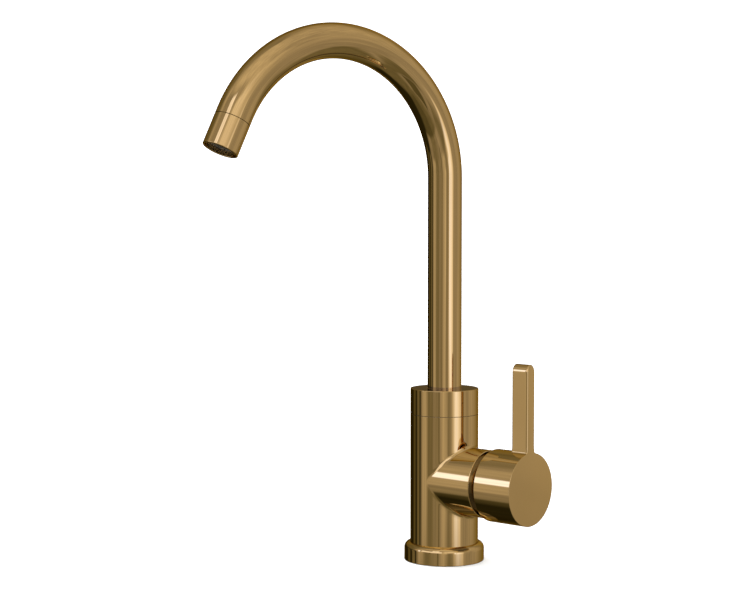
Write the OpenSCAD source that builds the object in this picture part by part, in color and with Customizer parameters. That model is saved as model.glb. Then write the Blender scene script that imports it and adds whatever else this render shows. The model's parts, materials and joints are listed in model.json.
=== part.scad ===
// Gooseneck pull-down kitchen mixer tap with a side lever.
// Millimetres, +Z up. The origin is the centre of the base ring's underside.
// The lever's axis is +X, the front is -Y, and the spout rests a little to the left of the front.

/* [Body] */
// Diameter of the column and of the swivel collar
body_d = 50; // [49.8:0.1:50.4]
// Height of the seam between the fixed column and the collar
seam_z = 107.6; // [106:0.1:112]
// Height of the collar's top face
collar_top = 126.4; // [124:0.1:132]
// Diameter of the base ring
base_d = 58.8; // [57:0.1:64]
// Height of the base ring
base_h = 13; // [11:0.1:15]

/* [Spout] */
// Outer diameter of the bent tube and of the nozzle
tube_d = 25; // [24.6:0.1:25.4]
// Wall thickness of the bent tube
tube_wall = 1.2; // [1:0.1:1.4]
// Height at which the bend starts
arc_z = 280; // [240:1:300]
// Radius of the bend at the tube's centre
arc_r = 93.8; // [85:0.1:110]
// Angle of the bend, from straight up
arc_sweep = 154.5; // [148:0.1:158]
// Straight length of tube between the bend and the nozzle's seam
tube_tip = 4.4; // [1:0.1:6]
// Distance from the end of the bend to the nozzle's mouth
outlet_l = 26.8; // [26:0.1:32]
// Angle between the front and the spout at rest
rest_swivel = 12.7; // [0:0.1:20]
// Diameter of the inner spray hose
hose_d = 12.4; // [11:0.1:12.6]

/* [Handle] */
// Height of the lever's axis
handle_z = 59.5; // [58:0.1:61]
// Diameter of the side boss
boss_d = 49.4; // [48.8:0.1:49.6]
// Distance from the column's axis to the boss's end
boss_end = 41.5; // [41:0.1:42]
// Diameter of the handle's cap
cap_d = 52.4; // [52.2:0.1:54]
// Distance from the column's axis to the cap's rear edge
cap_rear = 47.2; // [47:0.1:48]
// Distance from the column's axis to the cap's end face
cap_end = 78.2; // [77:0.1:82]
// Thickness of the lever bar, front to back
lever_w = 9.2; // [8:0.1:12]
// Depth of the lever bar along the handle's axis
lever_depth = 13.6; // [10:0.1:14]
// Height of the lever's tip
lever_top = 148.2; // [130:0.1:170]
// Distance from the column's axis to the cartridge's tilt pin
pivot_x = 36.5; // [36:0.1:37]

/* [Hidden] */
$fn = 96;
eps = 0.05;
// Extra length of a cutting shape, and the looseness of parts that turn or slide in each other
cut = 1;
play = 0.3;
// Bevels of the machined edges, and the radius of the hexagon sockets
boss_bevel = 0.8;
collar_bevel = 0.7;
cap_bevel = 0.5;
shell_bevel = 0.4;
hex_r = 1.25;
// Hairline between the bend's end and the straight tip that carries it on
tip_gap = 0.01;

gold = [0.72, 0.58, 0.33];
raw_brass = [0.78, 0.62, 0.30];
black_plastic = [0.08, 0.08, 0.09];
white_plastic = [0.88, 0.88, 0.86];
steel = [0.72, 0.73, 0.75];
rubber = [0.10, 0.10, 0.11];
ceramic = [0.93, 0.92, 0.88];

body_r = body_d / 2;
tube_r = tube_d / 2;
tube_bore = tube_r - tube_wall;
boss_r = boss_d / 2;
cap_r = cap_d / 2;
hose_r = hose_d / 2;

// Base ring: a lip under the column, a wall round it and a rounded shoulder
lip_h = 3;
lip_r = 22.5;
shoulder_r = 4.2;
body_gap = 0.05;
gasket_r = [23.5, 26.5];
gasket_h = 1.5;

// Column: hose bore, water ways and swivel socket
hose_bore_r = 8;
socket_r = 17;
socket_z = 80;
inlet_xy = [12.5, 11.5];
inlet_r = 3.5;
mixed_x = 14.5;
mixed_r = 3;
port_thread_r = 4.5;
port_thread_l = 14;
stud_x = -14;
stud_y = 10;
stud_r = 3.4;
stud_l = 16;
lock_z = 94;
lock_r = 2.1;
lock_tip_r = 1.5;
lock_tip_l = 5;
lock_inset = 0.6;
hex_depth = 3;

// Swivel: spigot of the collar in two bushes
spigot_r = 14.6;
spigot_z = 81;
bush_r = 14.7;
bush_h = 7;
washer_h = 0.5;
washer_inset = 0.5;
groove_r = 13;
groove_h = 4;
tube_z = 88;
coupling_top = 15;

// Cartridge, seen along the handle's axis
seat_x = 19;
seat_r = 17.7;
thread_x = 34;
thread_r = 19;
cart_r = 17.5;
cart_x = 19.2;
shoulder_x = 34.5;
neck_r = 14.9;
neck_x = 42;
chamber_r = 15.6;
chamber_x = 33.4;
port_y = 9.5;
port_drop = 4;
port_rise = 8.5;
port_r = 2.8;
seal_w = 1.8;
seal_h = 1.1;
seal_seat_h = 1;
disc_x = [21.6, 24.6, 27.2];
disc_r = 10.9;
pocket_r = 6.5;
pocket_h = 1.2;
nut_h = 5;
nut_slot = [8, 4, 4];
carrier_x = 31.4;
guide_y = 11.2;
rotor_r = 15.3;
rotor_x = [27.5, 31.7, 33.1, 41];
rotor_neck_r = 12.9;
stem_slot = [16.4, 8.6];
stem_w = 7.8;
stem_x = [33, 66];
arm_r = 2;
arm_l = 4;
ball_r = 2.1;
ball_x = 29.8;
ball_bore_r = 3;
ball_floor = 0.4;
pin_r = 1.5;
pin_l = 24;

// Trim dome and the inside of the handle, both centred on the tilt pin
dome_r = 21.8;
dome_wall = 1.5;
dome_end = 48.4;
skirt_l = 1.8;
skirt_h = 2.5;
cap_wall = 2.9;
cap_floor = 74;
hub_r = 8.5;
hub_x = 50.5;
insert_w = 10.4;
insert_x = 66.9;
grub_x = 58;
grub_r = 2.05;
grub_l = 6;
grub_hex_z = 3.5;
plug_r = 3;
plug_h = 2.6;
plug_inset = 0.35;
lever_corner = 4.4;

// Nozzle, seen along the outlet's axis from the end of the bend
seam = 0.3;
core_r = 9;
core_bore = 7.8;
core_top = -10;
core_seat = 10.95;
core_end = 16;
core_skirt = 12;
groove_w = 1.5;
oring_z = 1;
oring_h = 1.8;
valve_bore = [6, 6.6];
gasket_bore = [13.5, 9.4];
clip_z = -0.6;
clip_h = 0.9;
clip_gap = 5;
sleeve_play = 0.9;
sleeve_sweep = [6, 0.2];
hose_stop = 5.5;
shell_wall = 1.5;
nipple_r = 4;
ferrule_r = 7.3;
ferrule_z = [-8, -1, 5.5];
water_r = 2.5;
ferrule_wall = 2;
valve_z = 6.1;
valve_h = 7;
valve_r = 6.5;
valve_seat = [3.4, 3];
valve_cup = [5.2, 4];
valve_hole = [2.4, 0.9];
aerator_gasket_z = 13.6;
aerator_gasket_r = [9.3, 7];
aerator_gasket_h = 2.3;
aerator_z = [16.2, 22.4];
aerator_bore = 9.2;
screen_r = 9.15;
screen_h = 1.6;
screen_inset = 2.6;
screen_pitch = 2.3;
screen_hole = 0.85;
screen_rows = 3;

// Hose inlet under the column
coupling_gap = 0.4;
coupling_thread_l = 8;

// --- Shared shapes and placements ---

module ring(outer, inner, height) {
    difference() {
        cylinder(r = outer, h = height);
        translate([0, 0, -eps]) cylinder(r = inner, h = height + 2 * eps);
    }
}

// A cylinder with a small bevel on its upper edge
module bevelled(radius, height, bevel) {
    rotate_extrude()
        polygon([[0, 0], [radius, 0], [radius, height - bevel], [radius - bevel, height], [0, height]]);
}

// Local +Z becomes +X, at the handle's height
module on_handle_axis(x = 0) {
    translate([x, 0, handle_z]) rotate([0, 90, 0]) children();
}

// Local +X becomes the direction in which the spout reaches
module on_spout() {
    rotate([0, 0, -90 - rest_swivel]) children();
}

// Local +Z runs from the end of the bend out through the nozzle
module at_outlet(z = 0) {
    end_angle = 180 - arc_sweep;
    on_spout()
        translate([arc_r * (1 + cos(end_angle)), 0, arc_z + arc_r * sin(end_angle)])
            rotate([0, arc_sweep, 0]) translate([0, 0, z]) children();
}

// A 2D profile swept along the tube's bend, from one angle of bend to another
module along_bend(from, to) {
    on_spout() mirror([1, 0, 0]) translate([-arc_r, 0, arc_z]) rotate([90, 0, 0]) rotate([0, 0, from])
        rotate_extrude(angle = to - from) translate([arc_r, 0]) children();
}

// Three round ports of the cartridge, along the handle's axis
module ports(radius, x, length) {
    for (p = [[port_drop, port_y], [port_drop, -port_y], [-port_rise, 0]])
        on_handle_axis(x) translate([p[0], p[1], 0]) cylinder(r = radius, h = length);
}

// --- Fixed parts ---

module base_ring() {
    shoulder_x = base_d / 2 - shoulder_r;
    wall_h = base_h - shoulder_r;
    color(gold) difference() {
        rotate_extrude() {
            translate([lip_r, 0]) square([base_d / 2 - lip_r, wall_h]);
            translate([lip_r, 0]) square([shoulder_x - lip_r, base_h]);
            translate([shoulder_x, wall_h]) intersection() {
                circle(r = shoulder_r);
                square(shoulder_r);
            }
        }
        translate([0, 0, lip_h]) cylinder(r = body_r + body_gap, h = base_h);
        translate([0, 0, -eps]) ring(gasket_r[1], gasket_r[0], gasket_h + eps);
    }
}

module base_gasket() {
    color(rubber) ring(gasket_r[1] - eps, gasket_r[0] + eps, gasket_h - eps);
}

module valve_body() {
    top = seam_z - washer_h / 2;
    color(gold) difference() {
        union() {
            translate([0, 0, lip_h]) cylinder(r = body_r, h = top - lip_h);
            on_handle_axis() bevelled(boss_r, boss_end, boss_bevel);
        }
        translate([0, 0, -eps]) cylinder(r = hose_bore_r, h = socket_z + cut);
        translate([0, 0, socket_z]) cylinder(r = socket_r, h = top);
        on_handle_axis(seat_x) cylinder(r = seat_r, h = boss_end);
        on_handle_axis(thread_x) cylinder(r = thread_r, h = boss_end);
        for (side = [-1, 1]) {
            translate([inlet_xy[0], side * inlet_xy[1], lip_h - eps]) {
                cylinder(r = port_thread_r, h = port_thread_l + eps);
                cylinder(r = inlet_r, h = handle_z - port_drop);
            }
            translate([stud_x, side * stud_y, lip_h - eps]) cylinder(r = stud_r, h = stud_l + eps);
        }
        translate([mixed_x, 0, lip_h - eps]) {
            cylinder(r = port_thread_r, h = port_thread_l + eps);
            cylinder(r = mixed_r, h = handle_z + port_rise);
        }
        ports(port_r, mixed_x - cut, seat_x - mixed_x + 2 * cut);
        translate([0, 0, lock_z]) rotate([-90, 0, 0]) cylinder(r = lock_r, h = body_r + cut);
    }
}

module swivel_washer() {
    color(black_plastic) translate([0, 0, seam_z - washer_h / 2])
        ring(body_r - washer_inset, socket_r + play, washer_h);
}

module bush(z) {
    color(white_plastic) translate([0, 0, z]) ring(socket_r - eps, bush_r, bush_h);
}

module lower_bush() {
    bush(socket_z + 1);
}

module upper_bush() {
    bush(seam_z - washer_h / 2 - bush_h);
}

// Grub screw in the column's back: its tip runs in the spigot's groove and keeps the spout in
module spout_lock_screw() {
    tip_y = groove_r + play;
    head_y = socket_r + 0.5;
    color(steel) translate([0, 0, lock_z]) rotate([-90, 0, 0]) difference() {
        union() {
            translate([0, 0, tip_y]) cylinder(r = lock_tip_r, h = lock_tip_l);
            translate([0, 0, head_y]) cylinder(r = lock_r - eps, h = body_r - lock_inset - head_y);
        }
        translate([0, 0, body_r - hex_depth]) cylinder(r = hex_r, h = hex_depth, $fn = 6);
    }
}

module cartridge_housing() {
    color(black_plastic) difference() {
        union() {
            on_handle_axis(cart_x) cylinder(r = cart_r, h = shoulder_x - cart_x);
            on_handle_axis(cart_x) cylinder(r = neck_r, h = neck_x - cart_x);
        }
        on_handle_axis(disc_x[0]) cylinder(r = chamber_r, h = chamber_x - disc_x[0]);
        on_handle_axis(chamber_x - cut) cylinder(r = rotor_neck_r + play, h = neck_x);
        ports(port_r, cart_x - cut, disc_x[0] - cart_x + 2 * cut);
        ports(port_r + seal_w + 0.2, cart_x - eps, seal_seat_h);
    }
}

module cartridge_seals() {
    color(rubber) for (p = [[port_drop, port_y], [port_drop, -port_y], [-port_rise, 0]])
        on_handle_axis(seat_x) translate([p[0], p[1], 0]) ring(port_r + seal_w, port_r + play, seal_h);
}

module ceramic_disc_fixed() {
    color(ceramic) difference() {
        on_handle_axis(disc_x[0]) cylinder(r = chamber_r - eps, h = disc_x[1] - disc_x[0]);
        ports(port_r, disc_x[0] - cut, disc_x[1] - disc_x[0] + 2 * cut);
    }
}

module cartridge_nut() {
    nut_x = shoulder_x + eps;
    color(raw_brass) difference() {
        on_handle_axis(nut_x) ring(thread_r - eps, neck_r + 0.2, nut_h);
        for (turn = [0 : 90 : 270])
            on_handle_axis(nut_x + nut_h) rotate([0, 0, turn])
                translate([neck_r + 2, 0, 0]) cube(nut_slot, center = true);
    }
}

module trim_dome() {
    skirt_x = boss_end - skirt_l;
    color(gold) difference() {
        union() {
            intersection() {
                on_handle_axis(pivot_x) sphere(r = dome_r);
                on_handle_axis(boss_end + eps) cylinder(r = boss_r, h = dome_end - boss_end);
            }
            on_handle_axis(skirt_x) cylinder(r = thread_r - eps, h = skirt_h);
        }
        on_handle_axis(pivot_x) sphere(r = dome_r - dome_wall);
        on_handle_axis(skirt_x - cut) cylinder(r = thread_r - dome_wall, h = 6);
    }
}

// --- Parts inside the cartridge that turn with the lever ---

module cartridge_rotor() {
    color(white_plastic) difference() {
        union() {
            on_handle_axis(rotor_x[0]) cylinder(r = rotor_r, h = rotor_x[2] - rotor_x[0]);
            on_handle_axis(rotor_x[0]) cylinder(r = rotor_neck_r, h = rotor_x[3] - rotor_x[0]);
        }
        on_handle_axis(rotor_x[0] - cut) translate([-rotor_r - cut, -guide_y, 0])
            cube([2 * (rotor_r + cut), 2 * guide_y, rotor_x[1] - rotor_x[0] + cut]);
        on_handle_axis(rotor_x[1] - cut) translate([-stem_slot[0] / 2, -stem_slot[1] / 2, 0])
            cube([stem_slot[0], stem_slot[1], rotor_x[3] - rotor_x[1] + 2 * cut]);
        on_handle_axis(pivot_x) rotate([90, 0, 0]) cylinder(r = pin_r + 0.02, h = 2 * rotor_r, center = true);
    }
}

module pivot_pin() {
    color(steel) on_handle_axis(pivot_x) rotate([90, 0, 0]) cylinder(r = pin_r, h = pin_l, center = true);
}

module ceramic_disc_moving() {
    color(ceramic) difference() {
        on_handle_axis(disc_x[1] + eps) cylinder(r = disc_r, h = disc_x[2] - disc_x[1] - eps);
        on_handle_axis(disc_x[1]) cylinder(r = pocket_r, h = pocket_h);
    }
}

module disc_carrier() {
    color(black_plastic) difference() {
        on_handle_axis(disc_x[2] + eps) cylinder(r = disc_r, h = carrier_x - disc_x[2] - eps);
        on_handle_axis(disc_x[2] + ball_floor) cylinder(r = ball_bore_r, h = carrier_x - disc_x[2]);
    }
}

// --- Spout ---

module spout_collar() {
    foot = seam_z + washer_h / 2;
    color(gold) difference() {
        union() {
            translate([0, 0, foot]) bevelled(body_r, collar_top - foot, collar_bevel);
            translate([0, 0, spigot_z]) cylinder(r = spigot_r, h = foot - spigot_z + cut);
        }
        translate([0, 0, tube_z]) cylinder(r = tube_r + 0.02, h = collar_top);
        translate([0, 0, spigot_z - cut]) cylinder(r = tube_bore, h = collar_top);
        translate([0, 0, lock_z - groove_h / 2]) ring(spigot_r + cut, groove_r, groove_h);
    }
}

// The spout's centre line swept with a round section: a riser, then the bend
module swept(radius, from_z, bend) {
    translate([0, 0, from_z]) cylinder(r = radius, h = arc_z - from_z);
    along_bend(0, bend) circle(r = radius);
}

module spout_tube() {
    foot = tube_z + eps;
    color(gold) {
        translate([0, 0, foot]) ring(tube_r, tube_bore, arc_z - foot);
        along_bend(0, arc_sweep) difference() {
            circle(r = tube_r);
            circle(r = tube_bore);
        }
        at_outlet(tip_gap) ring(tube_r, tube_bore, tube_tip - tip_gap);
    }
}

// Plastic sleeve inside the end of the bend, which centres the nozzle
module dock_sleeve() {
    color(black_plastic) along_bend(arc_sweep - sleeve_sweep[0], arc_sweep - sleeve_sweep[1]) difference() {
        circle(r = tube_bore - eps);
        circle(r = core_r + sleeve_play);
    }
}

module spray_hose() {
    color(steel) swept(hose_r, coupling_top, arc_sweep - hose_stop);
}

module hose_coupling() {
    foot = lip_h + coupling_gap;
    color(raw_brass) difference() {
        translate([0, 0, foot]) cylinder(r = hose_bore_r - coupling_gap, h = coupling_top - foot);
        translate([0, 0, foot - eps]) cylinder(r = port_thread_r, h = coupling_thread_l + eps);
    }
}

// --- Pull-out nozzle ---

// Crimped end of the hose: its nipple turns in the nozzle's core
module hose_ferrule() {
    color(raw_brass) at_outlet(ferrule_z[0]) difference() {
        union() {
            cylinder(r = ferrule_r, h = ferrule_z[1] - ferrule_z[0]);
            cylinder(r = nipple_r, h = ferrule_z[2] - ferrule_z[0]);
        }
        translate([0, 0, ferrule_wall]) cylinder(r = water_r, h = ferrule_z[2] - ferrule_z[0]);
    }
}

module nozzle_core() {
    color(black_plastic) at_outlet() difference() {
        union() {
            translate([0, 0, core_top]) cylinder(r = core_r, h = core_skirt);
            translate([0, 0, seam]) cylinder(r = core_seat, h = core_end - seam);
        }
        translate([0, 0, core_top - cut]) cylinder(r = core_bore, h = oring_z + cut - core_top);
        cylinder(r = nipple_r + eps, h = core_end);
        translate([0, 0, oring_z - eps]) cylinder(r = nipple_r + groove_w, h = oring_h + 0.2);
        for (step = [valve_bore, gasket_bore])
            translate([0, 0, step[0]]) cylinder(r = step[1], h = core_end);
    }
}

module hose_oring() {
    color(rubber) at_outlet(oring_z) ring(nipple_r + groove_w - 0.1, nipple_r + 0.06, oring_h);
}

// Spring clip that keeps the nipple in the core
module hose_clip() {
    color(steel) at_outlet(clip_z) difference() {
        ring(core_bore - play, nipple_r + 0.35, clip_h);
        translate([0, -clip_gap / 2, -cut]) cube([core_bore, clip_gap, clip_h + 2 * cut]);
    }
}

module check_valve() {
    color(white_plastic) at_outlet(valve_z) difference() {
        cylinder(r = valve_r, h = valve_h);
        translate([0, 0, -cut]) cylinder(r = valve_seat[0], h = valve_seat[1] + cut);
        translate([0, 0, valve_cup[1]]) cylinder(r = valve_cup[0], h = valve_h);
        for (turn = [0 : 60 : 300])
            rotate([0, 0, turn]) translate([valve_hole[0], 0, 0]) cylinder(r = valve_hole[1], h = valve_h);
    }
}

module nozzle_shell() {
    shell_z = tube_tip + seam;
    shell_l = outlet_l - shell_z;
    color(gold) at_outlet(shell_z) difference() {
        bevelled(tube_r, shell_l, shell_bevel);
        translate([0, 0, -cut]) cylinder(r = tube_r - shell_wall, h = shell_l + 2 * cut);
    }
}

module aerator_gasket() {
    color(rubber) at_outlet(aerator_gasket_z)
        ring(aerator_gasket_r[0], aerator_gasket_r[1], aerator_gasket_h);
}

module aerator_housing() {
    color(black_plastic) at_outlet(aerator_z[0])
        ring(tube_r - shell_wall - eps, aerator_bore, aerator_z[1] - aerator_z[0]);
}

// Grid of the outlet, with rings of holes
module aerator_screen() {
    color(black_plastic) at_outlet(aerator_z[1] - screen_inset) difference() {
        cylinder(r = screen_r, h = screen_h);
        for (row = [0 : screen_rows], step = [0 : max(1, 6 * row) - 1])
            rotate([0, 0, 360 * step / max(1, 6 * row)])
                translate([screen_pitch * row, 0, -cut]) cylinder(r = screen_hole, h = screen_h + 2 * cut);
    }
}

// --- Handle ---

module cartridge_stem() {
    color(raw_brass) difference() {
        union() {
            on_handle_axis(stem_x[0]) translate([-stem_w / 2, -stem_w / 2, 0])
                cube([stem_w, stem_w, stem_x[1] - stem_x[0]]);
            on_handle_axis(ball_x) cylinder(r = arm_r, h = arm_l);
            on_handle_axis(ball_x) sphere(r = ball_r);
        }
        on_handle_axis(pivot_x) rotate([90, 0, 0])
            cylinder(r = pin_r + eps, h = stem_w + 2 * cut, center = true);
    }
}

// The lever bar's outline, standing on the cap: a straight bar with rounded upper corners
module lever_outline() {
    corner = lever_corner;
    half = lever_w / 2;
    height = lever_top - handle_z;
    translate([-half, 0]) square([lever_w, height - corner]);
    translate([corner - half, 0]) square([lever_w - 2 * corner, height]);
    for (side = [-1, 1]) translate([side * (half - corner), height - corner]) circle(r = corner);
}

module handle_lever() {
    color(gold) difference() {
        union() {
            on_handle_axis(cap_rear) bevelled(cap_r, cap_end - cap_rear, cap_bevel);
            on_handle_axis(cap_end - lever_depth) rotate([0, 0, 90]) linear_extrude(height = lever_depth)
                difference() {
                    lever_outline();
                    circle(r = cap_r - 2);
                }
        }
        difference() {
            on_handle_axis(cap_rear - cut) cylinder(r = cap_r - cap_wall, h = cap_floor - cap_rear + cut);
            on_handle_axis(hub_x) cylinder(r = hub_r, h = cap_floor);
        }
        on_handle_axis(hub_x - cut) translate([-insert_w / 2 - eps, -insert_w / 2 - eps, 0])
            cube([insert_w + 2 * eps, insert_w + 2 * eps, insert_x - hub_x + cut + 2 * eps]);
        translate([grub_x, 0, handle_z]) rotate([180, 0, 0]) {
            cylinder(r = grub_r + eps, h = cap_r - cap_wall);
            translate([0, 0, hub_r + cut]) cylinder(r = plug_r + eps, h = cap_r);
        }
    }
}

module handle_insert() {
    color(black_plastic) difference() {
        on_handle_axis(hub_x + eps) translate([-insert_w / 2, -insert_w / 2, 0])
            cube([insert_w, insert_w, insert_x - hub_x - eps]);
        on_handle_axis(hub_x - cut) translate([-stem_w / 2 - eps, -stem_w / 2 - eps, 0])
            cube([stem_w + 2 * eps, stem_w + 2 * eps, insert_x - hub_x + 2 * cut]);
        translate([grub_x, 0, handle_z]) rotate([180, 0, 0]) cylinder(r = grub_r + eps, h = insert_w);
    }
}

module handle_grub_screw() {
    color(steel) translate([grub_x, 0, handle_z]) rotate([180, 0, 0]) translate([0, 0, stem_w / 2 + eps])
        difference() {
            cylinder(r = grub_r, h = grub_l);
            translate([0, 0, grub_hex_z]) cylinder(r = hex_r, h = grub_l, $fn = 6);
        }
}

module handle_plug() {
    color(gold) translate([grub_x, 0, handle_z]) rotate([180, 0, 0])
        translate([0, 0, cap_r - plug_inset - plug_h]) cylinder(r = plug_r, h = plug_h);
}

base_ring();
base_gasket();
valve_body();
swivel_washer();
lower_bush();
upper_bush();
spout_lock_screw();
cartridge_housing();
cartridge_seals();
ceramic_disc_fixed();
ceramic_disc_moving();
disc_carrier();
cartridge_rotor();
pivot_pin();
cartridge_nut();
trim_dome();
spout_collar();
spout_tube();
dock_sleeve();
spray_hose();
hose_coupling();
hose_ferrule();
nozzle_core();
hose_oring();
hose_clip();
check_valve();
nozzle_shell();
aerator_gasket();
aerator_housing();
aerator_screen();
cartridge_stem();
handle_lever();
handle_insert();
handle_grub_screw();
handle_plug();
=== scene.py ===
"""A gold gooseneck kitchen mixer with a pull-out outlet and a side lever, built round its CAD frame.

Lengths in this script are millimetres and angles are degrees until a mesh is made, which is in metres.
"""

import json
import math

import bmesh
import bpy
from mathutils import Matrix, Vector
from mathutils.geometry import tessellate_polygon


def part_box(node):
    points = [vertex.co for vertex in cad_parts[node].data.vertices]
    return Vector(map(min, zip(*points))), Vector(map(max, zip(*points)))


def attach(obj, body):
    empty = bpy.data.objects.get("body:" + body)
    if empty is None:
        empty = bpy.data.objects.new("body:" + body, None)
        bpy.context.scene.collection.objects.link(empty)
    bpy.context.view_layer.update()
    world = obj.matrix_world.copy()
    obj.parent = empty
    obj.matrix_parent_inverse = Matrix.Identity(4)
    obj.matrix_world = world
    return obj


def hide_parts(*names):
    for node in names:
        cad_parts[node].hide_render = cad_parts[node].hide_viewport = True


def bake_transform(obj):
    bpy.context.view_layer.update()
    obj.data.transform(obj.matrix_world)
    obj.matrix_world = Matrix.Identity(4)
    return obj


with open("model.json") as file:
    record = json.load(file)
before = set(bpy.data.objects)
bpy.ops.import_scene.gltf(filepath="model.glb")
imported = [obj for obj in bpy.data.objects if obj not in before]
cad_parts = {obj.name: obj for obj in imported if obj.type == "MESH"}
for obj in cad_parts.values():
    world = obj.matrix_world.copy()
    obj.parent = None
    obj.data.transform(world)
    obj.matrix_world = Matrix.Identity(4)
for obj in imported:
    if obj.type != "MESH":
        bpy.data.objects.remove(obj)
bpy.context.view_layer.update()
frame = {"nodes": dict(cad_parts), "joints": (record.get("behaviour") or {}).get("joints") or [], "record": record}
MM = 0.001
# Distances in metres below which points are joined and edges dropped
WELD, DEGENERATE = 2e-6, 1e-7
JOINTS = {joint["name"]: joint for joint in frame["joints"]}


def box_mm(node):
    """Lowest and highest corner of a CAD node, in millimetres."""
    low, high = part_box(node)
    return low / MM, high / MM


# --- Sizes, from the frame where it has them ---

BODY_R = box_mm("spout_collar")[1].x
SEAM_LOW, SEAM_HIGH = box_mm("swivel_washer")[0].z, box_mm("swivel_washer")[1].z
COLLAR_TOP = box_mm("spout_collar")[1].z
SPIGOT_LOW = box_mm("spout_collar")[0].z
BASE_R, BASE_H = box_mm("base_ring")[1].x, box_mm("base_ring")[1].z
COLUMN_FOOT = box_mm("valve_body")[0].z
BOSS_END = box_mm("valve_body")[1].x
BOSS_R = 24.7
# Fillet between column and boss: above and below the boss, and at its two sides
SADDLE_R, SADDLE_TIP_R = 2.6, 9
# Narrow groove where the collar turns on the column, and the broken edge beside each seam
LIP_R, LIP_LOW, LIP_HIGH = 24.6, 107.47, 107.72
SEAM_EDGE = 0.12

TUBE_R = box_mm("spout_tube")[1].x
TUBE_WALL = 1.2
# Straight end of the tube after its bend, and the gap between it and the nozzle
TUBE_TIP = 4.4
NOZZLE_SEAM = 0.3
TUBE_FOOT = box_mm("spout_tube")[0].z
OUTLET = Vector(JOINTS["nozzle_turn"]["pos_m"]) / MM
OUTLET_AXIS = Vector(JOINTS["nozzle_pull"]["axis"]).normalized()
PULL = JOINTS["nozzle_pull"]["range_m"][1] / MM
REACH = Vector((OUTLET_AXIS.x, OUTLET_AXIS.y, 0)).normalized()
SWEEP = math.degrees(math.acos(OUTLET_AXIS.z))
BEND_R = OUTLET.xy.length / (1 - math.cos(math.radians(SWEEP)))
BEND_Z = OUTLET.z - BEND_R * math.sin(math.radians(SWEEP))

CAP_REAR, CAP_END = box_mm("handle_lever")[0].x, box_mm("handle_lever")[1].x
CAP_R = box_mm("handle_lever")[1].y
HANDLE_Z = (box_mm("pivot_pin")[0].z + box_mm("pivot_pin")[1].z) / 2
LEVER_RISE = box_mm("handle_lever")[1].z - HANDLE_Z
LEVER_HALF = 4.6
LEVER_BACK = CAP_END - 13.6
# Steps round the cap, from one foot of the lever to the other
CAP_STEPS = 176


# --- Mesh building ---

def polar(radius, degrees):
    """A 2D point at a radius and an angle."""
    return radius * math.cos(math.radians(degrees)), radius * math.sin(math.radians(degrees))


def spread(start, end, steps):
    """Evenly spaced numbers from start to end, both included."""
    return [start + (end - start) * i / steps for i in range(steps + 1)]


def rounded(corners, steps=6):
    """A closed 2D outline from (x, y, radius) corners, each radius turned into an arc."""
    outline = []
    for i, (x, y, radius) in enumerate(corners):
        here = Vector((x, y))
        if radius == 0:
            outline.append(here)
            continue
        before = (Vector(corners[i - 1][:2]) - here).normalized()
        after = (Vector(corners[(i + 1) % len(corners)][:2]) - here).normalized()
        half = before.angle(after) / 2
        centre = here + (before + after).normalized() * radius / math.sin(half)
        first = here + before * radius / math.tan(half) - centre
        last = here + after * radius / math.tan(half) - centre
        turn = first.angle(last)
        for share in spread(0, 1, steps):
            blend = first * math.sin((1 - share) * turn) + last * math.sin(share * turn)
            outline.append(centre + blend / math.sin(turn))
    return outline


class Shape:
    """Points and faces of one piece, in millimetres."""

    def __init__(self):
        self.points = []
        self.faces = []

    def add(self, points):
        first = len(self.points)
        self.points += [Vector(p) for p in points]
        return list(range(first, len(self.points)))

    def skin(self, rows, closed=False, round_rows=True):
        """Quads between rows of points. A round row joins its last point to its first."""
        rows = [self.add(row) for row in rows]
        if closed:
            rows.append(rows[0])
        for low, high in zip(rows, rows[1:]):
            count = len(low)
            for i in range(count if round_rows else count - 1):
                after = (i + 1) % count
                self.faces.append((low[i], low[after], high[after], high[i]))
        return rows

    def cover(self, *loops):
        """A flat face with an outer loop and any holes."""
        ids = [i for loop in loops for i in self.add(loop)]
        for triangle in tessellate_polygon([[Vector(p) for p in loop] for loop in loops]):
            self.faces.append(tuple(ids[i] for i in triangle))

    def object(self, name, material):
        mesh = bpy.data.meshes.new(name)
        mesh.from_pydata([p * MM for p in self.points], [], self.faces)
        weld = bmesh.new()
        weld.from_mesh(mesh)
        bmesh.ops.remove_doubles(weld, verts=weld.verts, dist=WELD)
        bmesh.ops.dissolve_degenerate(weld, edges=weld.edges, dist=DEGENERATE)
        bmesh.ops.recalc_face_normals(weld, faces=weld.faces)
        weld.to_mesh(mesh)
        weld.free()
        made = bpy.data.objects.new(name, mesh)
        bpy.context.scene.collection.objects.link(made)
        made.data.materials.append(material)
        return made


def cut_away(piece, cutter):
    """Takes the cutter's volume out of a piece."""
    tool = piece.modifiers.new("cut", "BOOLEAN")
    tool.operation = "DIFFERENCE"
    tool.solver = "EXACT"
    tool.object = cutter
    result = piece.evaluated_get(bpy.context.evaluated_depsgraph_get())
    mesh = bpy.data.meshes.new_from_object(result)
    piece.modifiers.clear()
    piece.data = mesh
    bpy.data.objects.remove(cutter)


def finish_piece(piece, body, slot, *nodes, crease=32):
    """Smooth shading with sharp creases; hides the piece's CAD nodes and hangs it on its body. slot is not used.
    """
    piece.data.shade_smooth()
    piece.data.set_sharp_from_angle(angle=math.radians(crease))
    normals = piece.modifiers.new("normals", "WEIGHTED_NORMAL")
    normals.keep_sharp = True
    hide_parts(*nodes)
    if body:
        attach(piece, body)


def placer(origin, axis, side):
    """Turns (radius, angle, height) about an axis into a point."""
    axis, side = Vector(axis).normalized(), Vector(side).normalized()
    third = axis.cross(side)

    def place(radius, degrees, height):
        x, y = polar(radius, degrees)
        return Vector(origin) + axis * height + side * x + third * y

    return place


upright = placer((0, 0, 0), (0, 0, 1), (1, 0, 0))
sideways = placer((0, 0, HANDLE_Z), (1, 0, 0), (0, 1, 0))
outward = placer(OUTLET, OUTLET_AXIS, REACH.cross(Vector((0, 0, 1))))


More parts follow.
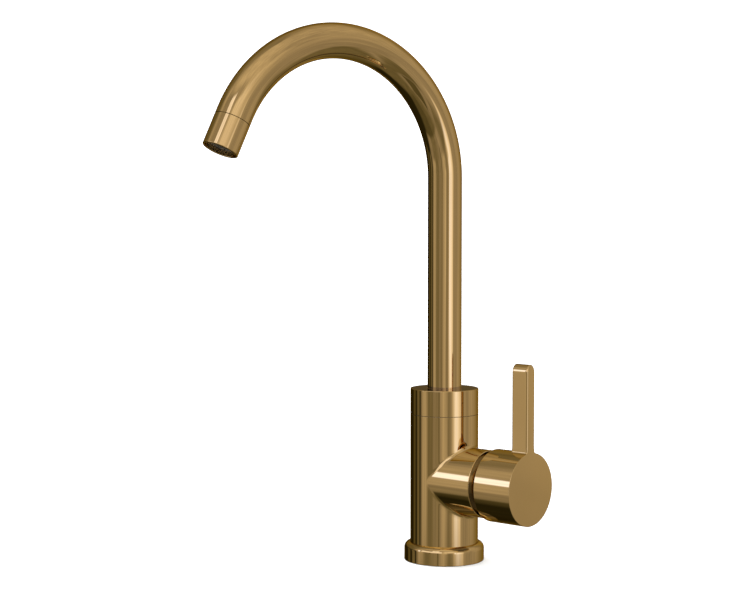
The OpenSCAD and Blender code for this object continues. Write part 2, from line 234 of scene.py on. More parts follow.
def lathe(place, profile, segments=180):
    """A closed (radius, height) profile turned about an axis."""
    turns = [360 * i / segments for i in range(segments)]
    shape = Shape()
    shape.skin([[place(r, turn, h) for turn in turns] for r, h in profile], closed=True)
    return shape


# --- Materials ---

class Nodes:
    """A material's node tree, with short ways to add and link nodes."""

    def __init__(self, name):
        self.material = bpy.data.materials.new(name)
        self.material.use_nodes = True
        self.tree = self.material.node_tree
        self.shader = self.tree.nodes["Principled BSDF"]
        self.where = self.add("ShaderNodeTexCoord").outputs["Object"]

    def add(self, kind, inputs=None, **settings):
        node = self.tree.nodes.new(kind)
        for key, value in settings.items():
            setattr(node, key, value)
        for key, value in (inputs or {}).items():
            self.set(node.inputs[key], value)
        return node

    def set(self, socket, value):
        if isinstance(value, bpy.types.NodeSocket):
            self.tree.links.new(value, socket)
        else:
            socket.default_value = value

    def math(self, operation, *values):
        node = self.add("ShaderNodeMath", operation=operation)
        for socket, value in zip(node.inputs, values):
            self.set(socket, value)
        return node.outputs[0]

    def noise(self, scale, detail=3.0, stretch=(1, 1, 1)):
        place = self.add("ShaderNodeMapping", {"Vector": self.where, "Scale": stretch})
        node = self.add(
            "ShaderNodeTexNoise",
            {"Vector": place.outputs[0], "Scale": scale, "Detail": detail},
        )
        return node.outputs["Fac"]

    def between(self, value, low, high):
        """value, mostly from 0.3 to 0.7 in a noise, spread over low to high."""
        node = self.add(
            "ShaderNodeMapRange",
            {"Value": value, "From Min": 0.3, "From Max": 0.7, "To Min": low, "To Max": high},
        )
        return node.outputs[0]

    def colours(self, value, first, second):
        node = self.add("ShaderNodeMix", data_type="RGBA")
        self.set(node.inputs[0], self.between(value, 0.0, 1.0))
        self.set(node.inputs[6], (*first, 1))
        self.set(node.inputs[7], (*second, 1))
        return node.outputs[2]

    def bump(self, height, strength, distance):
        node = self.add(
            "ShaderNodeBump",
            {"Height": height, "Strength": strength, "Distance": distance},
        )
        self.set(self.shader.inputs["Normal"], node.outputs[0])

    def finish(self, **inputs):
        for key, value in inputs.items():
            self.set(self.shader.inputs[key.replace("_", " ")], value)
        return self.material


def gold_plating(name="gold plating", light=1.0, rough=0.022):
    """Polished, faintly uneven plating. A light below 1 darkens its colour as painted shade; rough makes it
    rougher, as where it is left satin.
    """
    n = Nodes(name)
    broad = n.noise(14, 2)
    fine = n.noise(160, 2)
    n.bump(fine, 0.02, 0.00004)
    return n.finish(
        Base_Color=n.colours(
            broad,
            (0.794 * light, 0.500 * light, 0.186 * light),
            (0.806 * light, 0.510 * light, 0.196 * light),
        ),
        Metallic=1.0,
        Specular_Tint=(0.72, 0.50, 0.22, 1),
        Roughness=n.between(broad, rough, rough + 0.014),
    )


def machined(name, first, second, lines, rough):
    """Turned metal with fine tool lines."""
    n = Nodes(name)
    marks = n.noise(lines, 4, (1, 1, 4))
    n.bump(marks, 0.15, 0.0001)
    return n.finish(
        Base_Color=n.colours(marks, first, second),
        Metallic=1.0,
        Roughness=n.between(marks, rough - 0.06, rough + 0.08),
    )


def moulded(name, first, second, rough, grain=1500):
    """Moulded plastic, rubber or fired ceramic with a fine surface grain."""
    n = Nodes(name)
    broad = n.noise(40, 3)
    fine = n.noise(grain, 3)
    n.bump(fine, 0.12, 0.0001)
    return n.finish(
        Base_Color=n.colours(broad, first, second),
        Roughness=n.between(fine, rough - 0.06, rough + 0.06),
    )


def woven_hose():
    """Grey braid: crossing strands that follow the hose's own length and turn."""
    strands_round, pitch = 12.0, 0.0034
    n = Nodes("hose braid")
    way = n.add("ShaderNodeAttribute", attribute_name="hose_way").outputs["Vector"]
    parts = n.add("ShaderNodeSeparateXYZ", {"Vector": way}).outputs
    turn = n.math("MULTIPLY", n.math("ARCTAN2", parts[1], parts[0]), strands_round)
    run = n.math("MULTIPLY", parts[2], 2 * math.pi / pitch)
    right = n.math("SINE", n.math("ADD", turn, run))
    left = n.math("SINE", n.math("SUBTRACT", turn, run))
    over = n.math("MAXIMUM", right, left)
    strands = n.math("MULTIPLY_ADD", over, 0.2, 0.5)
    worn = n.noise(300, 3)
    n.bump(strands, 0.6, 0.0006)
    return n.finish(
        Base_Color=n.colours(strands, (0.030, 0.032, 0.035), (0.17, 0.175, 0.185)),
        Roughness=n.between(worn, 0.38, 0.55),
    )


FINISHES = {
    "gold_metal": gold_plating(),
    "raw_brass": machined("raw brass", (0.66, 0.47, 0.19), (0.74, 0.55, 0.24), 700, 0.28),
    "steel": machined("steel", (0.50, 0.51, 0.53), (0.62, 0.63, 0.65), 800, 0.26),
    "hose_braid": woven_hose(),
    "black_plastic": moulded("black plastic", (0.040, 0.035, 0.022), (0.062, 0.054, 0.034), 0.42),
    "white_plastic": moulded("white plastic", (0.72, 0.72, 0.69), (0.80, 0.80, 0.77), 0.32),
    "rubber": moulded("rubber", (0.010, 0.010, 0.011), (0.020, 0.020, 0.021), 0.70, 2200),
    "ceramic": moulded("ceramic", (0.80, 0.78, 0.72), (0.88, 0.87, 0.82), 0.22, 2600),
}
GOLD = FINISHES["gold_metal"]
# The cover in the gap behind the cap: a rougher satin finish, and its colour darkened to about a third as painted
# shade of the gap
SATIN_GOLD_WITH_PAINTED_SHADE = gold_plating("satin gold with painted shade", 0.36, 0.2)


# --- Fixed body ---

def base_ring():
    """Ring under the column: upright wall, round shoulder, lip and seal groove."""
    foot_edge, shoulder, fit, chamfer = 0.3, 4.2, 0.05, 0.1
    lip_r, groove_in, groove_out, groove_top = 22.5, 23.5, 26.5, 1.5
    inner = BODY_R + fit
    profile = rounded([
        (BASE_R, 0, foot_edge), (BASE_R, BASE_H, shoulder),
        (inner + chamfer, BASE_H, 0), (inner, BASE_H - chamfer, 0),
        (inner, COLUMN_FOOT, 0), (lip_r, COLUMN_FOOT, 0), (lip_r, 0, 0),
        (groove_in, 0, 0), (groove_in, groove_top, 0), (groove_out, groove_top, 0), (groove_out, 0, 0),
    ], steps=12)
    piece = lathe(upright, profile, 240).object("ring_at_base", GOLD)
    finish_piece(piece, "column", "gold_metal", "base_ring")


def column():
    """Column and side boss in one casting, with a rolled saddle between them."""
    steps, saddle_steps, boss_steps, back_steps, rows = 224, 8, 10, 96, 14
    boss_edge = 0.6
    mouth_r, mouth_x, chamber_r, chamber_x = 19, 34, 17.7, 19
    rise, drop = SEAM_LOW - HANDLE_Z, COLUMN_FOOT - HANDLE_Z
    bore, socket, socket_z = 8, 17, 80
    port_r, port_depth, stud_r, stud_depth = 4.5, 14, 3.4, 16
    lock_z, lock_r, lock_start, lock_end = 94, 2.1, 16, 30
    shape = Shape()

    def ball(turn):
        """Centre and radius of the ball rolled in the corner: largest where the corner is flattest."""
        radius = SADDLE_R + (SADDLE_TIP_R - SADDLE_R) * math.cos(math.radians(turn)) ** 6
        y, z = polar(BOSS_R + radius, turn)
        return Vector((math.sqrt((BODY_R + radius) ** 2 - y * y), y, z)), radius

    def at(x, y, z):
        return Vector((x, y, z + HANDLE_Z))

    turns = [360 * i / steps for i in range(steps)]
    saddle = []
    for share in spread(0, 1, saddle_steps):
        row = []
        for turn in turns:
            centre, radius = ball(turn)
            to_column = Vector((-centre.x, -centre.y, 0)).normalized()
            to_boss = Vector((0, -centre.y, -centre.z)).normalized()
            point = centre + to_column.slerp(to_boss, share) * radius
            row.append(at(*point))
        saddle.append(row)
    edge_x = BOSS_END - boss_edge
    for share in spread(0, 1, boss_steps)[1:]:
        ends = [(ball(turn)[0].x, *polar(BOSS_R, turn)) for turn in turns]
        saddle.append([at(x + (edge_x - x) * share, y, z) for x, y, z in ends])
    inside = [(BOSS_R - boss_edge + polar(boss_edge, a)[0], edge_x + polar(boss_edge, a)[1])
              for a in spread(0, 90, 5)[1:]]
    inside += [(mouth_r, BOSS_END), (mouth_r, mouth_x), (chamber_r, mouth_x), (chamber_r, chamber_x)]
    saddle += [[at(x, *polar(r, turn)) for turn in turns] for r, x in inside]
    shape.skin(saddle)
    shape.cover(saddle[-1])

    centres = [ball(turn)[0] for turn in turns[:steps // 2 + 1]]
    front = [(math.degrees(math.atan2(c.y, c.x)), c.z) for c in centres]
    side = front[0][0]
    back = [(turn, 0.0) for turn in spread(-side, side - 360, back_steps)[1:-1]]
    lines = front + back

    def ring(radius, z):
        return [at(*polar(radius, turn), z) for turn, _ in lines]

    def wall(sign, end):
        return [[at(*polar(BODY_R, turn), sign * z + (end - sign * z) * share) for turn, z in lines]
                for share in spread(0, 1, rows)]

    lip = LIP_LOW - HANDLE_Z - SEAM_EDGE
    upper = wall(1, lip)
    upper += [ring(BODY_R - SEAM_EDGE + polar(SEAM_EDGE, a)[0], lip + polar(SEAM_EDGE, a)[1])
              for a in spread(0, 90, 3)[1:]]
    upper += [ring(LIP_R, LIP_LOW - HANDLE_Z), ring(LIP_R, rise), ring(socket, rise)]
    upper += [ring(socket, socket_z - HANDLE_Z), ring(bore, socket_z - HANDLE_Z)]
    upper += [ring(bore, drop)]
    shape.skin(upper)
    lower = wall(-1, drop)
    shape.skin(lower)

    ports = [(x, y, port_r, port_depth) for x, y in ((12.5, 11.5), (12.5, -11.5), (14.5, 0))]
    studs = [(x, y, stud_r, stud_depth) for x, y in ((-14, 10), (-14, -10))]
    holes = []
    for x, y, radius, depth in ports + studs:
        circle = [(x + polar(radius, a)[0], y + polar(radius, a)[1]) for a in range(0, 360, 10)]
        mouth = [at(u, v, drop) for u, v in circle]
        floor = [at(u, v, drop + depth) for u, v in circle]
        shape.skin([mouth, floor])
        shape.cover(floor)
        holes.append(mouth)
    shape.cover(lower[-1], upper[-1], *holes)
    piece = shape.object("column_and_boss", GOLD)

    lock_hole = placer((0, 0, lock_z), (0, 1, 0), (1, 0, 0))
    drilled = [(0, lock_start), (lock_r, lock_start), (lock_r, lock_end), (0, lock_end)]
    drill = lathe(lock_hole, drilled, 40)
    cut_away(piece, drill.object("drill", GOLD))
    finish_piece(piece, "column", "gold_metal", "valve_body")


def trim_dome():
    """Domed cover round the cartridge, seen in the gap behind the handle's cap."""
    dome_r, wall, skirt_r, skirt_x, mouth_x = 21.8, 1.5, 18.95, BOSS_END - 1.8, 48.4
    outer_x, inner_x = BOSS_END + 0.05, BOSS_END + 1.2
    lean, curl = 0.15, 0.025

    def dome(radius, start_x, end_x):
        return [(radius - lean * (mouth_x - x) - curl * (mouth_x - x) ** 2, x)
                for x in spread(start_x, end_x, 14)]

    profile = [(skirt_r, skirt_x), (skirt_r, outer_x)]
    profile += dome(dome_r, outer_x, mouth_x)
    profile += dome(dome_r - wall, mouth_x, inner_x)
    profile += [(skirt_r - wall, inner_x), (skirt_r - wall, skirt_x)]
    # Its gold is darkened as painted shade, standing in for the shade in the gap behind the cap
    piece = lathe(sideways, profile).object("cartridge_cover", SATIN_GOLD_WITH_PAINTED_SHADE)
    finish_piece(piece, "column", "gold_metal", "trim_dome")


# --- Spout ---

def spout_collar():
    """Turning collar with its spigot and locking groove."""
    spigot, bore, seat, step_z = 14.6, TUBE_R - TUBE_WALL, TUBE_R + 0.02, TUBE_FOOT - 0.05
    groove_r, groove_low, groove_high = 13, 92, 96
    top_edge, chamfer = 0.5, 0.4
    profile = rounded([
        (spigot, SPIGOT_LOW, 0), (spigot, groove_low, 0), (groove_r, groove_low, 0),
        (groove_r, groove_high, 0), (spigot, groove_high, 0),
        (spigot, SEAM_HIGH, 0), (LIP_R, SEAM_HIGH, 0), (LIP_R, LIP_HIGH, 0),
        (BODY_R, LIP_HIGH, SEAM_EDGE), (BODY_R, COLLAR_TOP, top_edge),
        (seat + chamfer, COLLAR_TOP, 0), (seat, COLLAR_TOP - chamfer, 0), (seat, step_z, 0),
        (bore, step_z, 0), (bore, SPIGOT_LOW, 0),
    ])
    piece = lathe(upright, profile, 240).object("swivel_collar", GOLD)
    finish_piece(piece, "spout", "gold_metal", "spout_collar")


def along_spout(bend):
    """Centre, outward direction and forward direction of the tube at an angle of bend."""
    sine, cosine = math.sin(math.radians(bend)), math.cos(math.radians(bend))
    up = Vector((0, 0, 1))
    centre = REACH * BEND_R * (1 - cosine) + up * (BEND_Z + BEND_R * sine)
    return centre, up * sine - REACH * cosine, REACH * sine + up * cosine


def tube_rings(radius, from_z, to_bend, bend_step=1.5, segments=96, from_bend=None, tip=0):
    """Rings of a pipe that follows the spout, up the riser, round the bend and straight on."""
    stations = []
    if from_bend is None:
        stations = [(Vector((0, 0, z)), -REACH) for z in spread(from_z, BEND_Z, 24)[:-1]]
        from_bend = 0
    steps = max(2, round((to_bend - from_bend) / bend_step))
    stations += [along_spout(bend)[:2] for bend in spread(from_bend, to_bend, steps)]
    if tip:
        end, out = stations[-1]
        stations += [(end + OUTLET_AXIS * along, out) for along in spread(0, tip, 3)[1:]]
    side = REACH.cross(Vector((0, 0, 1)))
    rings = []
    for centre, out in stations:
        ring = [polar(radius, 360 * i / segments) for i in range(segments)]
        rings.append([centre + out * x + side * y for x, y in ring])
    return rings


def spout_tube():
    """Bent tube with its wall, a short straight tip and a slightly broken edge at its end."""
    outer = tube_rings(TUBE_R, TUBE_FOOT, SWEEP, tip=TUBE_TIP - SEAM_EDGE)
    outer += tube_rings(TUBE_R - SEAM_EDGE, TUBE_FOOT, SWEEP, tip=TUBE_TIP)[-1:]
    inner = tube_rings(TUBE_R - TUBE_WALL, TUBE_FOOT, SWEEP, bend_step=3, tip=TUBE_TIP)
    shape = Shape()
    shape.skin(outer + inner[::-1], closed=True)
    finish_piece(shape.object("bent_tube", GOLD), "spout", "gold_metal", "spout_tube")


def name_the_way(piece, rings, runs):
    """Stores each point's turn round the hose and its run along it, for the braid."""
    way = piece.data.attributes.new("hose_way", "FLOAT_VECTOR", "POINT")
    centres = [sum(ring, Vector()) / len(ring) for ring in rings]
    for vertex, value in zip(piece.data.vertices, way.data):
        point = vertex.co / MM
        nearest = min(range(len(rings)), key=lambda i: (centres[i] - point).length_squared)
        ring = rings[nearest]
        spoke = point - centres[nearest]
        first = (ring[0] - centres[nearest]).normalized()
        second = (ring[len(ring) // 4] - centres[nearest]).normalized()
        value.vector = (spoke.dot(first), spoke.dot(second), runs[nearest] * MM)


def spray_hose():
    """Braided hose in two lengths: one rests in the spout; the last one, towards the outlet, is on no body, and
    its braid is spread as for the full pull.
    """
    radius, split, stop = 6.2, SWEEP - 15, SWEEP - 5.5
    foot = box_mm("spray_hose")[0].z
    fixed = tube_rings(radius, foot, split, bend_step=3, segments=48)
    runs = [0.0]
    for low, high in zip(fixed, fixed[1:]):
        runs.append(runs[-1] + (high[0] - low[0]).length)
    paid = tube_rings(radius, foot, stop, bend_step=(stop - split) / 72, segments=48, from_bend=split)
    lead = math.radians(stop - split) * BEND_R
    shares = spread(0, 1, len(paid) - 1)
    paid_runs = [runs[-1] + lead * s + PULL * s * s * (3 - 2 * s) for s in shares]
    lengths = [("hose_in_spout", "spout", fixed, runs), ("hose_paying_out", None, paid, paid_runs)]
    for name, body, rings, way in lengths:
        shape = Shape()
        shape.skin(rings)
        shape.cover(rings[0])
        shape.cover(rings[-1])
        piece = shape.object(name, FINISHES["hose_braid"])
        name_the_way(piece, rings, way)
        finish_piece(piece, body, "hose_braid", "spray_hose")
    start, end = (along_spout(bend)[0] * MM for bend in (split, stop))
    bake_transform(piece)
    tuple(start)
    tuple(end)


def nozzle_shell():
    """Short sleeve of the pull-out outlet, with a thin rounded mouth."""
    wall, seam, mouth, mouth_edge = 1.5, TUBE_TIP + NOZZLE_SEAM, 26.8, 0.55
    profile = rounded([
        (TUBE_R - wall, seam, 0), (TUBE_R, seam, SEAM_EDGE),
        (TUBE_R, mouth, mouth_edge), (TUBE_R - wall, mouth, mouth_edge),
    ])
    piece = lathe(outward, profile, 160).object("nozzle_sleeve", GOLD)
    finish_piece(piece, "nozzle", "gold_metal", "nozzle_shell")


# --- Handle ---

def lever_outline():
    """Outline of cap and bar as (point, outward direction, share): 0 on the cap, 1 on the bar."""
    corner_r, top_h, ramp, corner_share = 1.5, 6.0, 4.0, 0.35
    side_y = LEVER_HALF + corner_r
    side_z = math.sqrt((CAP_R + corner_r) ** 2 - side_y ** 2)
    start = math.degrees(math.atan2(side_z, side_y))
    outline = []
    for turn in spread(start, -180 - start, CAP_STEPS):
        outline.append((Vector(polar(CAP_R, turn)), Vector(polar(1, turn)), 0.0))
    for turn in spread(-start, 0, 6)[1:]:
        centre, spoke = Vector((-side_y, side_z)), Vector(polar(1, turn))
        outline.append((centre + spoke * corner_r, -spoke, corner_share * (1 + turn / start)))
    for z in spread(side_z, LEVER_RISE - top_h, 22)[1:]:
        share = min(1.0, corner_share + (z - side_z) / ramp)
        outline.append((Vector((-LEVER_HALF, z)), Vector((-1, 0)), share))
    for turn in spread(180, 0, 36)[1:-1]:
        x, z = polar(1, turn)
        out = Vector((x * top_h, z * LEVER_HALF)).normalized()
        outline.append((Vector((x * LEVER_HALF, LEVER_RISE - top_h + z * top_h)), out, 1.0))
    nearly = 1e-4
    left = [item for item in outline[CAP_STEPS + 1:] if item[0].x < nearly - LEVER_HALF]
    for point, out, share in reversed(left):
        outline.append((Vector((-point.x, point.y)), Vector((-out.x, out.y)), share))
    return outline, start


def handle():
    """Cap and lever bar in one piece, hollow behind, with a screw hole underneath."""
    cap_edge, bar_edge, back_edge, rim_edge = 0.3, 1.3, 1.0, 0.35
    wall_r, floor_x, hub_r, hub_x, square, square_x = CAP_R - 2.9, 74, 8.5, 50.5, 5.25, 66.95
    chamfer = 0.3
    screw_r, plug_r, plug_half, screw_start, plug_start, drill_end = 2.1, 3.05, 3, 5, 9.5, 30
    outline, start = lever_outline()
    shape = Shape()

    def at(x, point):
        return Vector((x, point[0], point[1] + HANDLE_Z))

    front_edges = [cap_edge + (bar_edge - cap_edge) * share for _, _, share in outline]
    back_edges = [back_edge * share for _, _, share in outline]
    rows = []
    for part in spread(0, 1, 10):
        rows.append([
            at(LEVER_BACK + back + (CAP_END - front - LEVER_BACK - back) * part, point)
            for (point, _, _), front, back in zip(outline, front_edges, back_edges)
        ])
    for turn in spread(0, 90, 6)[1:]:
        ahead, inward = polar(1, 90 - turn)
        rows.append([
            at(CAP_END - edge * (1 - ahead), point - out * edge * (1 - inward))
            for (point, out, _), edge in zip(outline, front_edges)
        ])
    shape.skin(rows)
    shape.cover(rows[-1])

    strips = []
    for turn in spread(0, 90, 5):
        ahead, inward = polar(1, 90 - turn)
        strip = []
        for i in [*range(CAP_STEPS, len(outline)), 0]:
            point, out, _ = outline[i]
            edge = back_edges[i]
            strip.append(at(LEVER_BACK + edge * (1 - ahead), point - out * edge * (1 - inward)))
        strips.append(strip)
    shape.skin(strips, round_rows=False)
    crest = [polar(CAP_R, turn) for turn in spread(180 - start, start, 12)[1:-1]]
    shape.cover(strips[-1] + [at(LEVER_BACK, point) for point in reversed(crest)])

    around = [point for point, _, _ in outline[:CAP_STEPS + 1]] + crest
    turns = [math.degrees(math.atan2(p[1], p[0])) for p in around]
    inside = [(CAP_R, x) for x in spread(LEVER_BACK, CAP_REAR + rim_edge, 8)]
    inside += [(CAP_R - rim_edge + polar(rim_edge, a)[0], CAP_REAR + rim_edge - polar(rim_edge, a)[1])
               for a in spread(0, 90, 4)[1:]]
    inside += [(wall_r + chamfer, CAP_REAR), (wall_r, CAP_REAR + chamfer)]
    inside += [(wall_r, floor_x), (hub_r, floor_x), (hub_r, hub_x)]
    hollow = [[at(x, polar(r, turn)) for turn in turns] for r, x in inside]
    shape.skin(hollow)
    corners = [(square, square), (-square, square), (-square, -square), (square, -square)]
    mouth = [at(hub_x, corner) for corner in corners]
    end = [at(square_x, corner) for corner in corners]
    shape.cover(hollow[-1], mouth)
    shape.skin([mouth, end])
    shape.cover(end)
    piece = shape.object("cap_and_lever", GOLD)

    plug_x = box_mm("handle_plug")[0].x + plug_half
    below = placer((plug_x, 0, HANDLE_Z), (0, 0, -1), (1, 0, 0))
    drilled = [
        (0, screw_start), (screw_r, screw_start), (screw_r, plug_start),
        (plug_r, plug_start), (plug_r, drill_end), (0, drill_end),
    ]
    drill = lathe(below, drilled, 48)
    cut_away(piece, drill.object("drill", GOLD))
    finish_piece(piece, "handle", "gold_metal", "handle_lever")


# --- Floor, light and camera ---

def floor():
    """A wide pale floor that the polished metal doesn't mirror."""
    n = Nodes("floor")
    material = n.finish(
        Base_Color=n.colours(n.noise(6, 2), (0.95, 0.95, 0.95), (0.97, 0.97, 0.97)),
        Roughness=0.9,
        Specular_IOR_Level=0.0,
    )
    below_part = -0.2
    shape = Shape()
    rings = [[upright(r, turn, below_part) for turn in range(0, 360, 6)] for r in (60, 400, 1500, 6000)]
    shape.skin(rings)
    shape.cover(rings[0])
    made = shape.object("floor", material)
    made.visible_glossy = False


# Light above COOL_FROM turns cooler and light below WARM_BELOW warmer, as it does in the photo's
# reflections: how much green and blue the brightest gain, and how much blue the dimmest lose
COOL_FROM, WARM_BELOW = 0.5, 0.3
GREEN_GAIN, BLUE_GAIN, BLUE_LOSS = 0.3, 1.6, 0.6


def light_level(level):
    """The light's colour at a brightness."""
    bright = max(0.0, min(1.0, level - COOL_FROM)) ** 2
    dim = max(0.0, 1 - level / WARM_BELOW)
    return level, level * (1 + GREEN_GAIN * bright), level * (1 + BLUE_GAIN * bright - BLUE_LOSS * dim), 1.0


# Light round the object as (heading, brightness), where heading 0 is +Y and 90 is -X:
# overhead, high, above eye level, at eye level, below it, and from the table top.
# Open fault: the numbers in these six tables, in BOXES and in the gains above aren't a designed
# studio. A scratch script measured the photo's reflections by direction, and its values were typed
# in and adjusted. The rules for this script don't allow that.
OVERHEAD = [
    (-180, 0.62), (-120, 0.60), (-100, 0.54), (-75, 0.48), (-20, 0.48), (10, 0.42), (40, 0.34),
    (60, 0.27), (100, 0.25), (125, 0.36), (142, 0.50), (165, 0.58),
]
HIGH = [
    (-180, 0.37), (-146, 0.37), (-134, 0.46), (-120, 0.60), (-106, 0.58), (-96, 0.48), (-84, 0.41),
    (-72, 0.37), (-60, 0.45), (-44, 0.51), (-24, 0.46), (-12, 0.38), (0, 0.30), (24, 0.25),
    (44, 0.20), (64, 0.16), (76, 0.17), (96, 0.22), (108, 0.18), (120, 0.32), (131, 0.50),
    (138, 0.44), (145, 0.32), (170, 0.31),
]
ABOVE = [
    (-180, 0.52), (-160, 0.55), (-148, 0.50), (-140, 0.80), (-118, 0.84), (-106, 0.78), (-98, 0.66),
    (-86, 0.52), (-76, 0.40), (-60, 0.44), (-30, 0.46), (-8, 0.30), (4, 0.28), (20, 0.40), (32, 0.36),
    (42, 0.24), (60, 0.22), (70, 0.15), (112, 0.15), (122, 0.28), (130, 0.50), (136, 0.48),
    (146, 0.32),
]
LEVEL = [
    (-180, 0.29), (-164, 0.25), (-157, 0.33), (-152, 0.38), (-146, 0.53), (-139, 0.50), (-134, 0.42),
    (-129, 0.26), (-122, 0.26), (-117, 0.36), (-112, 0.68), (-104, 1.14), (-100, 1.22), (-92, 1.02),
    (-86, 0.84), (-82, 0.42), (-72, 0.33), (-68, 0.39), (-61, 0.30), (-51, 0.39), (-36, 0.43),
    (-18, 0.37), (4, 0.24), (20, 0.37), (30, 0.34), (37, 0.14), (74, 0.02), (112, 0.03),
    (129, 0.05), (141, 0.46), (153, 0.44), (163, 0.20),
]
BELOW = [
    (-180, 0.21), (-160, 0.30), (-154, 0.38), (-144, 0.32), (-132, 0.20), (-116, 0.18), (-104, 0.28),
    (-86, 0.38), (-70, 0.30), (-40, 0.34), (-24, 0.20), (4, 0.20), (24, 0.34), (34, 0.20), (60, 0.16),
    (70, 0.02), (124, 0.02), (132, 0.24), (144, 0.30), (156, 0.20),
]
TABLE = [
    (-180, 0.13), (-150, 0.17), (-134, 0.28), (-108, 0.30), (-98, 0.13), (-80, 0.18), (-70, 0.32),
    (-58, 0.16), (-40, 0.18), (0, 0.17), (40, 0.10), (56, 0.02), (125, 0.02), (140, 0.10),
]
UNDERNEATH = 0.15
# From the bottom up: the heights above eye level over which each ring of light takes over
LAYERS = [
    (-75, -60, TABLE), (-33, -28, BELOW), (-15, -9, LEVEL), (8, 14, ABOVE), (32, 40, HIGH),
    (46, 56, OVERHEAD),
]
# Patches with crisper edges: headings, heights above eye level and brightness
BOXES = [
    ((-160.8, -157.4), (-20, 30), 0.14),
    ((-111.4, -107.4), (-5, 8), 1.40),
    ((-137.5, -134.0), (-4, 8), 0.66),
    ((137.0, 144.5), (9, 22.5), 1.40),
    ((91, 104), (-14, 6), 0.10),
    ((114, 125), (-14, 6), 0.17),
    ((127, 131), (-14, 6), 0.03),
    ((-185, -148), (9, 34), 1.05),
    ((-183, -157), (34, 47), 1.12),
    ((147, 185), (12, 34), 1.05),
    ((-138, -104), (-60, -40), 0.10),
]
# How soft their edges are, in heading and in height
SIDE_SOFT, TOP_SOFT = 0.7, 2
# The room's small unevenness: how fine it is, and its least and most brightness
UNEVEN_SCALE, UNEVEN_LOW, UNEVEN_HIGH = 11.0, 0.86, 1.14
# How much each further mirroring in gold would deepen its green and blue
KEEP_GREEN, KEEP_BLUE = 1.50, 3.4
# Light on everything that isn't a mirror
EVEN_LIGHT = 1.9


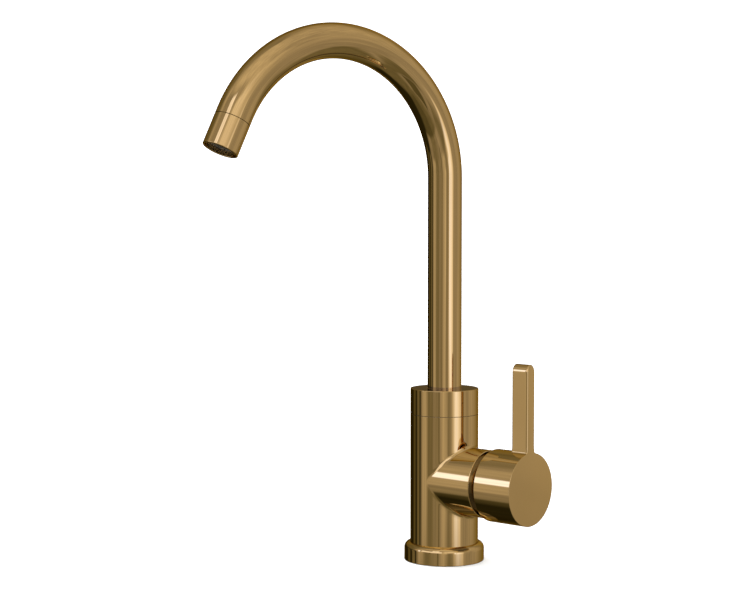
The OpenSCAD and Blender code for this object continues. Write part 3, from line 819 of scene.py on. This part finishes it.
def studio():
    """White backdrop and even light for the eye, and the measured light for the polished metal."""
    world = bpy.data.worlds.new("studio")
    bpy.context.scene.world = world
    world.use_nodes = True
    tree = world.node_tree
    tree.nodes.clear()

    def add(kind, **settings):
        node = tree.nodes.new(kind)
        for key, value in settings.items():
            setattr(node, key, value)
        return node

    def put(socket, value):
        if isinstance(value, bpy.types.NodeSocket):
            tree.links.new(value, socket)
        else:
            socket.default_value = value

    def calculate(operation, *values):
        node = add("ShaderNodeMath", operation=operation)
        for socket, value in zip(node.inputs, values):
            put(socket, value)
        return node.outputs[0]

    def band(value, low, high, start=0.0, end=1.0):
        """start below low, end above high and smooth between."""
        node = add("ShaderNodeMapRange", interpolation_type="SMOOTHSTEP")
        for socket, number in zip(node.inputs, (value, low, high, start, end)):
            put(socket, number)
        return node.outputs[0]

    def mix(share, first, second, how="MIX"):
        node = add("ShaderNodeMix", data_type="RGBA", blend_type=how)
        for index, value in ((0, share), (6, first), (7, second)):
            put(node.inputs[index], value)
        return node.outputs[2]

    way = add("ShaderNodeTexCoord").outputs["Generated"]
    direction = add("ShaderNodeSeparateXYZ")
    put(direction.inputs[0], way)
    x, y, z = direction.outputs
    heading = calculate("DEGREES", calculate("ARCTAN2", calculate("MULTIPLY", x, -1.0), y))
    height = calculate("DEGREES", calculate("ARCSINE", z))
    turn = calculate("MULTIPLY_ADD", heading, 1 / 360, 0.5)

    def around(levels):
        """A ring of light, closed by ending as it starts."""
        ramp = add("ShaderNodeValToRGB")
        stops = ramp.color_ramp.elements
        for _ in levels[2:]:
            stops.new(1.0)
        for stop, (where, level) in zip(stops, levels):
            stop.position = (where + 180) / 360
            stop.color = light_level(level)
        put(ramp.inputs[0], turn)
        return ramp.outputs[0]

    light = light_level(UNDERNEATH)
    for low, high, levels in LAYERS:
        light = mix(band(height, low, high), light, around(levels))
    for (left, right), (low, high), level in BOXES:
        sides = [
            band(heading, left - SIDE_SOFT, left + SIDE_SOFT),
            band(height, low - TOP_SOFT, low + TOP_SOFT),
            band(heading, right - SIDE_SOFT, right + SIDE_SOFT, 1.0, 0.0),
            band(height, high - TOP_SOFT, high + TOP_SOFT, 1.0, 0.0),
        ]
        share = sides[0]
        for side in sides[1:]:
            share = calculate("MULTIPLY", share, side)
        light = mix(share, light, light_level(level))

    room = add("ShaderNodeTexNoise")
    put(room.inputs["Vector"], way)
    put(room.inputs["Scale"], UNEVEN_SCALE)
    put(room.inputs["Detail"], 3.0)
    uneven = add("ShaderNodeMapRange")
    for socket, value in zip(uneven.inputs, (room.outputs["Fac"], 0.3, 0.7, UNEVEN_LOW, UNEVEN_HIGH)):
        put(socket, value)
    light = mix(1.0, light, uneven.outputs[0], "MULTIPLY")

    path = add("ShaderNodeLightPath")
    # The world counts the first mirror image as depth 2
    further = calculate("MINIMUM", calculate("SUBTRACT", path.outputs["Ray Depth"], 2.0), 1.0)
    grey = add("ShaderNodeSeparateColor")
    put(grey.inputs[0], light)
    kept = add("ShaderNodeCombineColor")
    for socket, factor in zip(kept.inputs, (1.0, KEEP_GREEN, KEEP_BLUE)):
        put(socket, calculate("MULTIPLY", grey.outputs[0], calculate("POWER", factor, further)))
    light = mix(calculate("GREATER_THAN", further, 0.5), light, kept.outputs[0])
    mirrored = add("ShaderNodeBackground")
    put(mirrored.inputs["Color"], light)
    even = add("ShaderNodeBackground")
    put(even.inputs["Color"], (1, 1, 1, 1))
    put(even.inputs["Strength"], EVEN_LIGHT)
    joined = add("ShaderNodeMixShader")
    shares = (path.outputs["Is Glossy Ray"], even.outputs[0], mirrored.outputs[0])
    for socket, value in zip(joined.inputs, shares):
        put(socket, value)
    put(add("ShaderNodeOutputWorld").inputs["Surface"], joined.outputs[0])
    bpy.context.scene.view_settings.view_transform = "Standard"


# Where the camera stands in metres, where it looks, and its lens
CAMERA_AT = (0.7564, -0.9421, 0.2578)
CAMERA_HEADING, CAMERA_DIP = 41.18, 3.173
CAMERA_LENS, CAMERA_SENSOR = 79.28, 36


def camera():
    """Camera at the object's left front, looking slightly down."""
    lens = bpy.data.cameras.new("camera")
    lens.lens = CAMERA_LENS
    lens.sensor_width = CAMERA_SENSOR
    made = bpy.data.objects.new("camera", lens)
    bpy.context.scene.collection.objects.link(made)
    heading, dip = math.radians(CAMERA_HEADING), math.radians(CAMERA_DIP)
    level = math.cos(dip)
    ahead = Vector((-math.sin(heading) * level, math.cos(heading) * level, -math.sin(dip)))
    made.rotation_mode = "QUATERNION"
    made.rotation_quaternion = ahead.to_track_quat("-Z", "Y")
    made.location = CAMERA_AT
    bpy.context.scene.camera = made


camera()
floor()
studio()
base_ring()
column()
trim_dome()
spout_collar()
spout_tube()
spray_hose()
nozzle_shell()
handle()

for part in frame["record"]["subparts"]:
    node = frame["nodes"][part["node"]]
    node.data.materials.clear()
    node.data.materials.append(FINISHES[part["material_slot"]])
